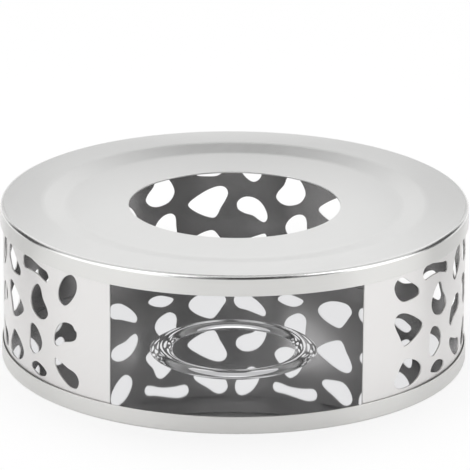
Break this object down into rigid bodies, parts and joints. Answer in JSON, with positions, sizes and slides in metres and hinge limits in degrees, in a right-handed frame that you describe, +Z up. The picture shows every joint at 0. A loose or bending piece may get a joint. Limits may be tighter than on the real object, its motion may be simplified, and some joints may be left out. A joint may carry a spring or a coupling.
{
  "type": "teapot warmer",
  "caption": "Round sheet-steel teapot warmer: dished cap with a central heat hole, rolled wall with pebble-shaped cut-outs and an open front window, and a base pan with a tealight ring.",
  "frame": {"origin": "centre of the footprint, on the surface the warmer stands on", "axes": "+Z up along the axis of the warmer, the open window faces -Y"},
  "size_m": [0.146, 0.146, 0.05],
  "materials": {
    "cap_steel": "satin",
    "wall_steel": "satin",
    "pan_steel": "satin outside, polished floor"
  },
  "bodies": {
    "root": {"top_cap": "cap_steel", "perforated_wall": "wall_steel", "base_pan": "pan_steel"}
  },
  "joints": []
}
